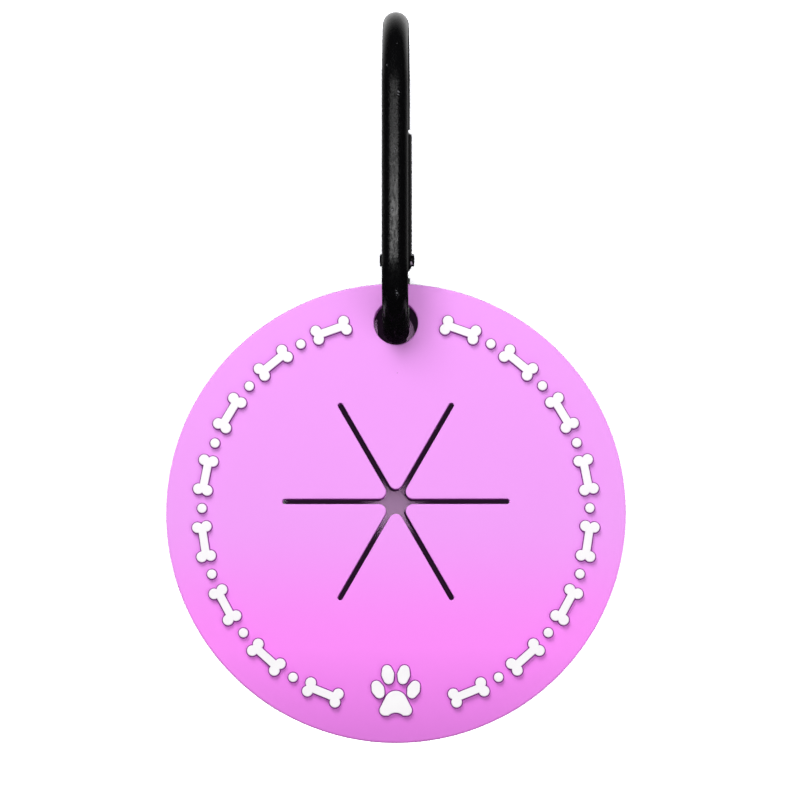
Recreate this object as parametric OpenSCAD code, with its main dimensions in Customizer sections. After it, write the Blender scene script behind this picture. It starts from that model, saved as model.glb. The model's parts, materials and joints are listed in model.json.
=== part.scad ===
// Bag holder for dog walks: a flexible silicone disc with a six-slit star, hung on a sprung carabiner.
// Millimetres. +Z is up, and the disc faces -Y.
// The origin is the inside of the carabiner's crown, where a lead or a belt loop carries it.

/* [Disc] */
// Outside diameter of the silicone disc
disc_d = 70; // [66:1:90]
// Thickness of the disc
disc_t = 3; // [2.6:0.1:3.6]
// Diameter of the hole that the carabiner passes through
hole_d = 6.7; // [6:0.1:7.6]
// Silicone left between that hole and the rim
hole_wall = 2.65; // [2:0.05:4]

/* [Star] */
// How far the star's middle lies above the disc's middle, toward the hole
star_up = 1.7; // [0:0.1:3]
// Distance from the star's middle to the middle of each slit's round end
slit_reach = 16.9; // [14:0.1:18]
// Width of the slits
slit_w = 0.8; // [0.7:0.05:1.1]
// Radius of each petal's tip
tip_r = 1.1; // [0.8:0.1:2]
// Clearance round each petal's root
petal_gap = 0.15; // [0.1:0.01:0.25]
// Angle to which each petal can fold before its face meets the groove's edge
petal_fold = 45; // [30:1:50]

/* [White figures] */
// Height of the raised figures above the disc
figure_h = 0.8; // [0.4:0.1:1.5]
// Distance from the rim to the middle line of the ring of figures
ring_inset = 5.5; // [4.5:0.1:7]
// Angle from straight up to the first bone's near end, on each side of the hole
ring_from = 13.5; // [12:0.5:18]
// Angle from straight up to the last bone's far end, on each side of the paw print
ring_to = 164; // [150:0.5:164]
// Length of a bone between the middles of its end lobes
bone_len = 4.5; // [3.5:0.1:5]
// Width of a bone's shaft
shaft_w = 1.3; // [0.8:0.1:1.6]
// Radius of a bone's lobes
lobe_r = 0.85; // [0.6:0.05:1]
// Distance from a bone's middle line to the middle of a lobe
lobe_out = 0.68; // [0.5:0.02:0.8]
// Diameter of the dots between the bones
dot_d = 1.5; // [0.8:0.1:1.8]

/* [Paw print] */
// Distance from the rim to the middle of the paw print
paw_inset = 7.9; // [7.5:0.1:9.5]
// Radius of a toe pad across its middle
toe_r = 1; // [0.85:0.05:1.1]
// Radius of a toe pad's two ends
toe_end_r = 0.8; // [0.6:0.05:0.8]
// Distance between the middles of an inner toe's two ends
inner_toe_span = 1.4; // [1:0.05:1.6]
// Distance between the middles of an outer toe's two ends
outer_toe_span = 1.25; // [1:0.05:1.4]
// Inner toes: distance from the paw's middle line
inner_toe_x = 1.2; // [1.15:0.05:1.5]
// Inner toes: height above the paw's middle
inner_toe_y = 2.45; // [2.3:0.05:2.8]
// Inner toes: lean, their tips away from the middle line
inner_toe_lean = 10; // [0:1:12]
// Outer toes: distance from the paw's middle line
outer_toe_x = 2.7; // [2.6:0.05:3.2]
// Outer toes: height above the paw's middle
outer_toe_y = 0.2; // [0:0.05:0.4]
// Outer toes: lean, their tips away from the middle line
outer_toe_lean = 22; // [10:1:30]
// Distance from the paw's middle down to the heel pad's middle
heel_down = 1.9; // [1.8:0.05:2.1]
// Radius of the heel pad's upper lobe
heel_top_r = 1.75; // [1.5:0.05:1.8]
// Height of that lobe above the heel pad's middle
heel_top_y = 0.2; // [0:0.05:0.25]
// Radius of the heel pad's two lower lobes
heel_foot_r = 0.85; // [0.7:0.05:1]
// Distance of each lower lobe from the paw's middle line
heel_foot_x = 1.65; // [1.4:0.05:1.7]
// Depth of those lobes below the heel pad's middle
heel_foot_y = 1.05; // [0.8:0.05:1.15]
// Radius of the hollow below the heel pad
hollow_r = 1.6; // [1.4:0.1:2.4]
// Depth of that hollow
hollow_depth = 0.45; // [0.2:0.05:0.6]

/* [Carabiner] */
// Overall length of the carabiner
clip_len = 51; // [46:0.5:60]
// Overall width of the carabiner
clip_w = 24; // [22:0.5:28]
// Diameter of its bar
bar_d = 4; // [3.8:0.1:4.4]
// Clearance between the bar and the lower edge of the disc's hole
bar_gap = 0.25; // [0.2:0.05:0.5]

/* [Gate] */
// How much thicker the gate is than the bar
gate_extra = 0.6; // [0.4:0.05:1]
// Height of the rivet above the lowest point of the carabiner
rivet_up = 13.8; // [12.6:0.1:15]
// Length of the gate from the rivet to its tip
gate_reach = 20.1; // [17:0.1:21]
// Length of the gate's tail below the rivet
tail_len = 2.5; // [2.4:0.05:2.7]
// Length of the bevel at the gate's tip
tip_bevel = 0.6; // [0.2:0.05:1]
// Thickness of the flat tongues on the bar's two ends
tongue_t = 1.9; // [1.6:0.05:2]
// Length of the nose tongue inside the gate
nose_len = 3.8; // [2.5:0.1:5]
// Metal left behind the nose tongue, which stops the gate
latch_web = 1; // [0.8:0.05:1.2]
// Radius of the hinge tongue's round end
knuckle_r = 1.6; // [1.5:0.02:1.7]
// How far the tongue's cam is off the rivet's axis
cam_off = 0.45; // [0.2:0.01:0.5]
// Diameter of the rivet's shank
rivet_d = 1.4; // [1:0.05:1.5]
// Diameter of the rivet's heads
head_d = 1.9; // [1.8:0.05:2.4]
// Height of the rivet's heads
head_h = 0.6; // [0.4:0.05:0.8]
// Depth of the flats that the heads lie on
head_seat = 0.2; // [0.1:0.05:0.3]

/* [Gate spring] */
// Diameter of the bore for the spring and the plunger
bore_d = 2.16; // [1.9:0.02:2.2]
// Depth of that bore above the hinge slot
bore_len = 9; // [8:0.1:10]
// Length of the plunger
plunger_len = 2.2; // [1.6:0.1:3]
// Diameter of the spring's wire
wire_d = 0.3; // [0.25:0.01:0.35]
// Number of the spring's curls
curls = 8; // [6:1:9]

/* [Fits] */
// Clearance on each side of a tongue in its slot
slot_gap = 0.15; // [0.1:0.01:0.25]
// Clearance between the hinge tongue's end and the top of its slot
tongue_gap = 0.25; // [0.2:0.05:0.4]
// Clearance between the gate's ends and the bar's shoulders
end_gap = 0.3; // [0.2:0.05:0.5]
// Radial clearance of the rivet in the hinge tongue
rivet_gap = 0.06; // [0.03:0.01:0.1]
// Radial clearance of the plunger in its bore
plunger_gap = 0.08; // [0.04:0.01:0.1]
// Clearance between the plunger and the hinge tongue
cam_gap = 0.05; // [0.03:0.01:0.08]
// Clearance between the spring and what it sits against
seat_gap = 0.04; // [0.02:0.01:0.1]

/* [Hidden] */
$fn = 96;
petal_count = 6;
bones_per_side = 8;
toe_count = 4;
turn = 360 / petal_count;
// How far a cut runs past the face it opens
over = 1;

// The carabiner's own places
bar_r = bar_d / 2;
bend_r = (clip_w - bar_d) / 2;
top_bend_z = bar_r - bend_r;
low_z = bar_d - clip_len;
low_bend_z = low_z + bar_r + bend_r;
gate_y = bend_r;
gate_r = (bar_d + gate_extra) / 2;
rivet_z = low_z + rivet_up;
tip_z = rivet_z + gate_reach;
nose_z = tip_z + end_gap;
shoulder_z = rivet_z - tail_len - end_gap;
slot_w = tongue_t + 2 * slot_gap;
nose_bottom_z = tip_z - nose_len;
latch_floor_z = nose_bottom_z - end_gap;
nose_inner_y = latch_web + slot_gap - gate_r;
head_x = gate_r - head_seat;
cam_angle = 65;
cam_y = -cam_off * sin(cam_angle);
cam_z = cam_off * cos(cam_angle);
slot_top = knuckle_r + cam_off + tongue_gap;

// The plunger's dome rests on the cam, whose middle is off its axis
plunger_r = bore_d / 2 - plunger_gap;
dome_mid = cam_z + sqrt(pow(knuckle_r + plunger_r, 2) - pow(cam_y, 2)) + cam_gap;
dome_z = rivet_z + dome_mid;
plunger_top_z = dome_z - plunger_r + plunger_len;
bore_top_z = rivet_z + slot_top + bore_len;
spring_low_z = plunger_top_z + seat_gap + wire_d / 2;
spring_high_z = bore_top_z - seat_gap - wire_d / 2;
spring_r = bore_d / 2 - plunger_gap - wire_d / 2;
rings_per_curl = 8;
wire_sides = 6;

// The disc hangs round the lowest point of the bar
hole_z = low_z - bar_gap + hole_d / 2;
hole_up = disc_d / 2 - hole_wall - hole_d / 2;
disc_z = hole_z - hole_up;
half_t = disc_t / 2;
root_y = slit_reach * cos(turn / 2);
root_half = slit_reach * sin(turn / 2);
petal_half = root_y * tan(turn / 2) - slit_w / 2 / cos(turn / 2);
tip_mid_y = (slit_w / 2 + tip_r) / sin(turn / 2);
groove_r = half_t + petal_gap;

// Near its root a petal is a little narrower, so that two folded neighbours stay apart
root_reach = (root_y - half_t) * tan(turn / 2) - petal_gap / 2;
folded_y = root_y - half_t * sin(petal_fold);
corner_half = min(petal_half, folded_y * tan(turn / 2)) - petal_gap / 2;
corner_len = (petal_half - corner_half) / tan(turn / 2) / (1 - cos(petal_fold));

// The ring of figures
ring_r = disc_d / 2 - ring_inset;
bone_half_angle = (bone_len / 2 + lobe_r) / ring_r * 180 / PI;
first_bone = ring_from + bone_half_angle;
bone_step = (ring_to - ring_from - 2 * bone_half_angle) / (bones_per_side - 1);
paw_y = paw_inset - disc_d / 2;

pink = [0.96, 0.6, 0.98];
white = [0.98, 0.98, 0.98];
black = [0.05, 0.05, 0.06];
steel = [0.72, 0.72, 0.74];

// Places

// Lays a drawing in the disc's middle plane: x across, y up, and z toward the front.
module in_disc_plane() {
    translate([0, 0, disc_z]) rotate([90, 0, 0]) children();
}

// Lays a drawing on the disc's front face.
module on_front_face() {
    in_disc_plane() translate([0, 0, half_t]) children();
}

// Turns a drawing about the star's middle, so that its y runs out along petal i.
module along_petal(i) {
    in_disc_plane() translate([0, star_up, 0]) rotate([0, 0, (i - 1) * turn]) children();
}

// Moves a drawing to the rivet's axis, with x, y and z as in the part.
module at_rivet() {
    translate([0, gate_y, rivet_z]) children();
}

// A cylinder along X, through the clip's plane.
module crosswise(r, width) {
    rotate([0, 90, 0]) cylinder(h = width, r = r, center = true);
}

// Carabiner

// Half a ring of bar in the clip's plane, open downward.
module bend() {
    rotate([90, 0, 90]) rotate_extrude(angle = 180) translate([bend_r, 0]) circle(r = bar_r);
}

// An upright length of bar.
module upright(y, from_z, to_z) {
    translate([0, y, from_z]) cylinder(h = to_z - from_z, r = bar_r);
}

// The lower bend ends in a flat shoulder under the gate's tail.
module lower_bend() {
    difference() {
        union() {
            translate([0, 0, low_bend_z]) mirror([0, 0, 1]) bend();
            upright(gate_y, low_bend_z, rivet_z);
        }
        translate([-bar_d, gate_y - bar_d, shoulder_z]) cube([2 * bar_d, 2 * bar_d, clip_len]);
    }
}

// The hinge tongue has a round end, and beside it the cam that the plunger presses on.
module hinge_tongue() {
    difference() {
        union() {
            translate([-tongue_t / 2, gate_y - knuckle_r, shoulder_z - bar_r / 2])
                cube([tongue_t, 2 * knuckle_r, rivet_z - shoulder_z + bar_r / 2]);
            at_rivet() crosswise(knuckle_r, tongue_t);
            at_rivet() translate([0, cam_y, cam_z]) crosswise(knuckle_r, tongue_t);
        }
        at_rivet() crosswise(rivet_d / 2 + rivet_gap, 2 * tongue_t);
    }
}

// The nose tongue is the bar's own end, filed flat on both sides and on the inside.
module nose_tongue() {
    intersection() {
        upright(gate_y, nose_bottom_z, nose_z + bar_r);
        translate([-tongue_t / 2, gate_y + nose_inner_y, nose_bottom_z])
            cube([tongue_t, bar_d, nose_len + end_gap + bar_r]);
    }
}

module carabiner_bar() {
    color(black) {
        translate([0, 0, top_bend_z]) bend();
        upright(-gate_y, low_bend_z, top_bend_z);
        upright(gate_y, nose_z, top_bend_z);
        lower_bend();
        hinge_tongue();
        nose_tongue();
    }
}

// Gate

// The gate's outside: a round bar with a rounded tail and a bevelled tip.
module gate_blank() {
    at_rivet() {
        cylinder(h = gate_reach - tip_bevel, r = gate_r);
        translate([0, 0, gate_reach - tip_bevel])
            cylinder(h = tip_bevel, r1 = gate_r, r2 = gate_r - tip_bevel);
        intersection() {
            translate([0, 0, -tail_len]) cylinder(h = tail_len, r = gate_r);
            sphere(r = tail_len);
        }
    }
}

module carabiner_gate() {
    color(black) difference() {
        gate_blank();
        // Hinge slot, right through
        at_rivet() translate([-slot_w / 2, -gate_r - over, -tail_len - over])
            cube([slot_w, 2 * (gate_r + over), tail_len + over + slot_top]);
        // Latch slot, open to the outside and at the tip
        translate([-slot_w / 2, gate_y - gate_r + latch_web, latch_floor_z])
            cube([slot_w, 2 * gate_r, nose_len + end_gap + over]);
        // Bore for the spring and the plunger
        at_rivet() cylinder(h = slot_top + bore_len, r = bore_d / 2);
        // Rivet hole, and flats for the heads
        at_rivet() crosswise(rivet_d / 2, 2 * (gate_r + over));
        for (side = [-1, 1])
            at_rivet() translate([side * (head_x + over), 0, 0])
                crosswise(head_d / 2 + slot_gap, 2 * over);
    }
}

// The right head: a rim that lies on the gate's flat, and a dome.
module rivet_head() {
    rim_h = head_h / 2;
    dome_h = head_h - rim_h;
    dome_r = (pow(head_d / 2, 2) + pow(dome_h, 2)) / (2 * dome_h);
    intersection() {
        translate([head_x + head_h / 2, 0, 0]) crosswise(head_d / 2, head_h);
        translate([head_x + head_h - dome_r, 0, 0]) sphere(r = dome_r);
    }
}

module gate_rivet() {
    color(steel) at_rivet() {
        crosswise(rivet_d / 2, 2 * head_x);
        rivet_head();
        mirror([1, 0, 0]) rivet_head();
    }
}

module gate_plunger() {
    color(steel) translate([0, gate_y, dome_z]) {
        sphere(r = plunger_r);
        cylinder(h = plunger_top_z - dome_z, r = plunger_r);
    }
}

// Spring: one unbroken wire, swept ring by ring up a helix

ring_count = curls * rings_per_curl + 1;
spring_rise = spring_high_z - spring_low_z;

function spring_mid(k) =
    let (a = 360 * k / rings_per_curl)
    [spring_r * cos(a), spring_r * sin(a), spring_rise * k / (ring_count - 1)];

// One ring of the wire's skin. Its plane holds the spring's axis.
function wire_ring(k) =
    let (a = 360 * k / rings_per_curl, m = spring_mid(k))
    [for (s = [0 : wire_sides - 1])
        let (b = 360 * s / wire_sides, out = wire_d / 2 * cos(b), up = wire_d / 2 * sin(b))
        m + [out * cos(a), out * sin(a), up]];

function wire_skin() = [for (k = [0 : ring_count - 2], s = [0 : wire_sides - 1], half = [0, 1])
    let (n = (s + 1) % wire_sides, low = k * wire_sides, high = low + wire_sides)
    half == 0 ? [low + s, low + n, high + n] : [low + s, high + n, high + s]];

function wire_ends() = let (last = (ring_count - 1) * wire_sides) concat(
    [for (s = [1 : wire_sides - 2]) [0, s + 1, s]],
    [for (s = [1 : wire_sides - 2]) [last, last + s, last + s + 1]]
);

// The least gap between one curl and the next, measured on the rings' own points
curl_gap = min([for (k = [0 : rings_per_curl], p = wire_ring(0), q = wire_ring(k))
    k < rings_per_curl - 1 ? spring_rise : norm(p - q)]);
echo(spring_curl_gap = curl_gap);

module gate_spring() {
    points = [for (k = [0 : ring_count - 1]) each wire_ring(k)];
    color(steel) translate([0, gate_y, spring_low_z])
        polyhedron(points = points, faces = concat(wire_skin(), wire_ends()));
}

// Silicone disc

// The space that one petal's rounded root needs in the disc, open at both faces so that it can fold.
module root_groove() {
    mouth = groove_r * sin(petal_fold);
    translate([0, root_y, 0]) {
        crosswise(groove_r, 2 * root_half);
        translate([-root_half, -disc_t, -disc_t]) cube([2 * root_half, disc_t + mouth, 2 * disc_t]);
    }
}

module holder_disc() {
    window = [for (i = [0 : petal_count - 1]) slit_reach * [cos(i * turn), sin(i * turn)]];
    color(pink) difference() {
        in_disc_plane() cylinder(h = disc_t, d = disc_d, center = true);
        in_disc_plane() translate([0, hole_up, 0])
            cylinder(h = disc_t + 2 * over, d = hole_d, center = true);
        in_disc_plane() translate([0, star_up, 0]) linear_extrude(height = disc_t + 2 * over, center = true)
            polygon(window);
        for (i = [1 : petal_count]) {
            along_petal(i) root_groove();
            along_petal(i) translate([root_half, root_y, 0])
                cylinder(h = disc_t + 2 * over, d = slit_w, center = true);
        }
    }
}

// A petal: straight flanks beside the slits, a round tip, and a rounded root to fold about.
module petal(i) {
    right_side = [
        [tip_r * cos(turn / 2), tip_mid_y - tip_r * sin(turn / 2)],
        [petal_half - corner_len * tan(turn / 2), root_y - corner_len],
        [corner_half, root_y]
    ];
    left_side = [for (k = [len(right_side) - 1 : -1 : 0]) [-right_side[k].x, right_side[k].y]];
    color(pink) along_petal(i) {
        linear_extrude(height = disc_t, center = true) polygon(concat(right_side, left_side));
        translate([0, tip_mid_y, 0]) cylinder(h = disc_t, r = tip_r, center = true);
        translate([0, root_y, 0]) crosswise(half_t, 2 * root_reach);
    }
}

// White figures

// One bone: a shaft with two lobes at each end.
module bone_shape() {
    translate([-bone_len / 2, -shaft_w / 2, 0]) cube([bone_len, shaft_w, figure_h]);
    for (x = [-bone_len / 2, bone_len / 2], y = [-lobe_out, lobe_out])
        translate([x, y, 0]) cylinder(h = figure_h, r = lobe_r);
}

// Lays a figure on the ring, turned to follow it. Angles run clockwise from straight up.
module on_ring(angle) {
    on_front_face() rotate([0, 0, -angle]) translate([0, ring_r, 0]) children();
}

// Bones are numbered clockwise: down the right side, then up the left.
module bone(i) {
    place = i <= bones_per_side ? i - 1 : 2 * bones_per_side - i;
    side = i <= bones_per_side ? 1 : -1;
    color(white) on_ring(side * (first_bone + place * bone_step)) bone_shape();
}

module dots() {
    color(white) for (side = [-1, 1], k = [0 : bones_per_side - 2])
        on_ring(side * (first_bone + (k + 0.5) * bone_step)) cylinder(h = figure_h, d = dot_d);
}

// A toe pad: an oval, widest across its middle.
module toe_shape(span) {
    linear_extrude(height = figure_h) hull() {
        circle(r = toe_r);
        for (y = [-span / 2, span / 2])
            translate([0, y]) circle(r = toe_end_r);
    }
}

// Toes are numbered from left to right: outer, inner, inner, outer.
module paw_toe(i) {
    side = i <= toe_count / 2 ? -1 : 1;
    outer = i == 1 || i == toe_count;
    toe_x = side * (outer ? outer_toe_x : inner_toe_x);
    toe_y = paw_y + (outer ? outer_toe_y : inner_toe_y);
    lean = -side * (outer ? outer_toe_lean : inner_toe_lean);
    color(white) on_front_face() translate([toe_x, toe_y, 0]) rotate([0, 0, lean])
        toe_shape(outer ? outer_toe_span : inner_toe_span);
}

// The heel pad: three lobes drawn together, with a shallow hollow below.
module paw_heel() {
    color(white) on_front_face() translate([0, paw_y - heel_down, 0])
        linear_extrude(height = figure_h) difference() {
            hull() {
                translate([0, heel_top_y]) circle(r = heel_top_r);
                for (x = [-heel_foot_x, heel_foot_x])
                    translate([x, -heel_foot_y]) circle(r = heel_foot_r);
            }
            translate([0, hollow_depth - heel_foot_y - heel_foot_r - hollow_r]) circle(r = hollow_r);
        }
}

carabiner_bar();
carabiner_gate();
gate_rivet();
gate_spring();
gate_plunger();
holder_disc();
for (i = [1 : petal_count])
    petal(i);
paw_heel();
for (i = [1 : toe_count])
    paw_toe(i);
for (i = [1 : 2 * bones_per_side])
    bone(i);
dots();
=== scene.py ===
import json
import math

import bmesh
import bpy
import numpy as np
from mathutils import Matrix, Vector
from mathutils.geometry import delaunay_2d_cdt


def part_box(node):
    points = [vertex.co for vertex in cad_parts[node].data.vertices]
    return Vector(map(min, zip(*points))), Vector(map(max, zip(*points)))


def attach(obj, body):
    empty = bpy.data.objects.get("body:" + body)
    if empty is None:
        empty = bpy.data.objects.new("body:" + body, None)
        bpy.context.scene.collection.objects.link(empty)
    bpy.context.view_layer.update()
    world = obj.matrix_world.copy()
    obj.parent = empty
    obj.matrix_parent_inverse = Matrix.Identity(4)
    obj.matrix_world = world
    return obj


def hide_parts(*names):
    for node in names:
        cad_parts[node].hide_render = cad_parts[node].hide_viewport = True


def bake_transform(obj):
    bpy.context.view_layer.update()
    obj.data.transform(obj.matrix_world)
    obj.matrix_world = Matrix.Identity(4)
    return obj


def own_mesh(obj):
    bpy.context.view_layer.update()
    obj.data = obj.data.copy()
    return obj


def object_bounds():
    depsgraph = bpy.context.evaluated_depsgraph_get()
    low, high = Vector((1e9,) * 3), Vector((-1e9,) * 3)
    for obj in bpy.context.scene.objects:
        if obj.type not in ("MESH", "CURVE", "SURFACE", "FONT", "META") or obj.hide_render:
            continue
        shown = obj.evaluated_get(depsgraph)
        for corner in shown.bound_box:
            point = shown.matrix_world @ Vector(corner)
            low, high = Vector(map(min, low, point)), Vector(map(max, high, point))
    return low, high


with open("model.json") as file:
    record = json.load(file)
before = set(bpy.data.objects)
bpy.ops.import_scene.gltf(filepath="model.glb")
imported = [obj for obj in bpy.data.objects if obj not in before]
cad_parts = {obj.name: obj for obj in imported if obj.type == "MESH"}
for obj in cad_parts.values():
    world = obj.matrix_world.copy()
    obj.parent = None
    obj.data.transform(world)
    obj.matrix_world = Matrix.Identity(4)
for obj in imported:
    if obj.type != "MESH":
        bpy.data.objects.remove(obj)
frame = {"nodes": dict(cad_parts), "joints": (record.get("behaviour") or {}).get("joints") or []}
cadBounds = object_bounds()

mm = 0.001
nodes = frame["nodes"]
joints = {joint["name"]: joint for joint in frame["joints"]}


# Colour and node helpers

def toLinear(hexColour):
    # sRGB hex to linear RGBA
    channels = [int(hexColour[i:i + 2], 16) / 255 for i in (0, 2, 4)]
    linear = [c / 12.92 if c <= 0.04045 else ((c + 0.055) / 1.055) ** 2.4 for c in channels]
    return (*linear, 1)


def addNode(tree, kind, settings=None, links=None):
    # settings go to the node's own options or to its sockets, links join other nodes' outputs to them
    node = tree.nodes.new(kind)
    for key, value in (settings or {}).items():
        if isinstance(key, str) and hasattr(node, key):
            setattr(node, key, value)
        else:
            node.inputs[key].default_value = value
    for key, source in (links or {}).items():
        tree.links.new(source, node.inputs[key])
    return node


def newMaterial(name):
    material = bpy.data.materials.new(name)
    material.use_nodes = True
    tree = material.node_tree
    tree.nodes.clear()
    place = addNode(tree, "ShaderNodeTexCoord").outputs["Object"]
    return material, tree, place


def finishMaterial(tree, shader, bump=None):
    if bump is not None:
        tree.links.new(bump.outputs["Normal"], shader.inputs["Normal"])
    output = addNode(tree, "ShaderNodeOutputMaterial")
    tree.links.new(shader.outputs[0], output.inputs["Surface"])


# Materials
# Pink silicone: moulded against a satin steel tool, so the sheen is broad and soft. The colour is even,
# with specks of dust, and is painted paler towards the hanging hole and deeper towards the paw: painted
# light from above, painted shade at the bottom.

pinkSilicone = {
    "faceTopPaintedLight": "EE9FF4",
    "faceLow": "FA8CF6",
    "faceFootPaintedShade": "D877D7",
    "deeper": "E57BE6",
    "paintedLightHeight": -72.5,     # mm, paler above this: painted light
    "lowHeight": -93.5,     # mm, painted shade deepens below this
    "paintedShadeHeight": -108.5,   # mm, deepest painted shade below this
    "driftSize": 26,        # mm across one patch of the drift
    "driftShare": 0.08,
    "grainSize": 0.35,      # mm, the tool's satin grain, drawn about five times coarser than real to show
    "grainDepth": 0.004,    # mm
    "grainStrength": 0.6,
    "roughness": 0.5,
    "ior": 1.41,
    "speckCell": 9,         # mm between specks of dust
    "speckSize": 0.13,      # mm
    "speck": "8C5A90",
}


def makePinkSilicone(name, look):
    material, tree, place = newMaterial(name)
    parts = addNode(tree, "ShaderNodeSeparateXYZ", None, {0: place})
    # painted light and shade: the colour is mixed by height, paler towards the top and darker towards the
    # foot
    low = addNode(tree, "ShaderNodeMapRange",
                  {"From Min": look["paintedShadeHeight"] * mm, "From Max": look["lowHeight"] * mm},
                  {"Value": parts.outputs["Z"]})
    top = addNode(tree, "ShaderNodeMapRange",
                  {"interpolation_type": "SMOOTHSTEP", "From Min": look["lowHeight"] * mm,
                   "From Max": look["paintedLightHeight"] * mm}, {"Value": parts.outputs["Z"]})
    colour = addNode(tree, "ShaderNodeMix",
                     {"data_type": "RGBA", 6: toLinear(look["faceFootPaintedShade"]), 7: toLinear(look["faceLow"])},
                     {0: low.outputs["Result"]})
    colour = addNode(tree, "ShaderNodeMix", {"data_type": "RGBA", 7: toLinear(look["faceTopPaintedLight"])},
                     {0: top.outputs["Result"], 6: colour.outputs[2]})
    drift = addNode(tree, "ShaderNodeTexNoise", {"Scale": 1 / (look["driftSize"] * mm), "Detail": 2},
                    {"Vector": place})
    share = addNode(tree, "ShaderNodeMath", {"operation": "MULTIPLY", 1: look["driftShare"]},
                    {0: drift.outputs["Fac"]})
    colour = addNode(tree, "ShaderNodeMix", {"data_type": "RGBA", 7: toLinear(look["deeper"])},
                     {0: share.outputs[0], 6: colour.outputs[2]})
    cells = addNode(tree, "ShaderNodeTexVoronoi", {"Scale": 1 / (look["speckCell"] * mm)},
                    {"Vector": place})
    speckReach = look["speckSize"] / look["speckCell"]
    speck = addNode(tree, "ShaderNodeMath", {"operation": "LESS_THAN", 1: speckReach},
                    {0: cells.outputs["Distance"]})
    colour = addNode(tree, "ShaderNodeMix", {"data_type": "RGBA", 7: toLinear(look["speck"])},
                     {0: speck.outputs[0], 6: colour.outputs[2]})
    grain = addNode(tree, "ShaderNodeTexNoise", {"Scale": 1 / (look["grainSize"] * mm), "Detail": 3},
                    {"Vector": place})
    bump = addNode(tree, "ShaderNodeBump",
                   {"Strength": look["grainStrength"], "Distance": look["grainDepth"] * mm},
                   {"Height": grain.outputs["Fac"]})
    shader = addNode(tree, "ShaderNodeBsdfPrincipled",
                     {"Roughness": look["roughness"], "IOR": look["ior"]},
                     {"Base Color": colour.outputs[2]})
    finishMaterial(tree, shader, bump)
    return material


# Cut silicone: the slits and holes are die cut, so their walls are matt. Their colour is a painted shade,
# far darker than the disc's face, for the shade inside the slits, the hole and the moats round the figures.

cutSiliconeShade = {
    "wall": "AE30B2",
    "wallDeep": "7C1C82",
    "lineSize": 0.5,        # mm between the die's drag lines
    "lineDepth": 0.03,      # mm
    "lineStrength": 0.3,
    "roughness": 0.7,
    "ior": 1.41,
}


def makeCutSiliconeShade(name, look):
    material, tree, place = newMaterial(name)
    lines = addNode(tree, "ShaderNodeTexNoise", {"Scale": 1 / (look["lineSize"] * mm), "Detail": 2},
                    {"Vector": place})
    colour = addNode(tree, "ShaderNodeMix",
                     {"data_type": "RGBA", 6: toLinear(look["wallDeep"]), 7: toLinear(look["wall"])},
                     {0: lines.outputs["Fac"]})
    bump = addNode(tree, "ShaderNodeBump",
                   {"Strength": look["lineStrength"], "Distance": look["lineDepth"] * mm},
                   {"Height": lines.outputs["Fac"]})
    shader = addNode(tree, "ShaderNodeBsdfPrincipled",
                     {"Roughness": look["roughness"], "IOR": look["ior"]},
                     {"Base Color": colour.outputs[2]})
    finishMaterial(tree, shader, bump)
    return material


# White silicone: poured in as a second colour, a little glossier than the disc, never quite pure white.
# Below its rounded edge it is painted a darker lilac, a painted shade with the pink's tint, which draws the
# fine line round each figure.

whiteSilicone = {
    "face": "FAF9FA",
    "faceWarm": "F3F0F3",
    # the root's colour is a painted shade at each figure's foot
    "root": "C684CE",
    "rootFrom": -2.27,      # mm, in front of this the white is pure
    "rootTo": -2.18,        # mm, behind this it has the root's painted shade
    "driftSize": 3,         # mm across one patch of the drift
    "grainSize": 0.3,       # mm
    "grainDepth": 0.02,     # mm
    "grainStrength": 0.15,
    "roughness": 0.42,
    "ior": 1.41,
}


def makeWhiteSilicone(name, look):
    material, tree, place = newMaterial(name)
    drift = addNode(tree, "ShaderNodeTexNoise", {"Scale": 1 / (look["driftSize"] * mm), "Detail": 2},
                    {"Vector": place})
    colour = addNode(tree, "ShaderNodeMix",
                     {"data_type": "RGBA", 6: toLinear(look["faceWarm"]), 7: toLinear(look["face"])},
                     {0: drift.outputs["Fac"]})
    parts = addNode(tree, "ShaderNodeSeparateXYZ", None, {0: place})
    root = addNode(tree, "ShaderNodeMapRange",
                   {"From Min": look["rootFrom"] * mm, "From Max": look["rootTo"] * mm},
                   {"Value": parts.outputs["Y"]})
    # painted shade at the figure's foot
    colour = addNode(tree, "ShaderNodeMix", {"data_type": "RGBA", 7: toLinear(look["root"])},
                     {0: root.outputs["Result"], 6: colour.outputs[2]})
    grain = addNode(tree, "ShaderNodeTexNoise", {"Scale": 1 / (look["grainSize"] * mm), "Detail": 2},
                    {"Vector": place})
    bump = addNode(tree, "ShaderNodeBump",
                   {"Strength": look["grainStrength"], "Distance": look["grainDepth"] * mm},
                   {"Height": grain.outputs["Fac"]})
    shader = addNode(tree, "ShaderNodeBsdfPrincipled",
                     {"Roughness": look["roughness"], "IOR": look["ior"]},
                     {"Base Color": colour.outputs[2]})
    finishMaterial(tree, shader, bump)
    return material


# Black lacquer over aluminium bar: sprayed and baked, deep black, with an orange peel drawn out along the
# bar that breaks the sheen up, and small grey scuffs where hooks and the hole's edge have rubbed it.

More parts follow.
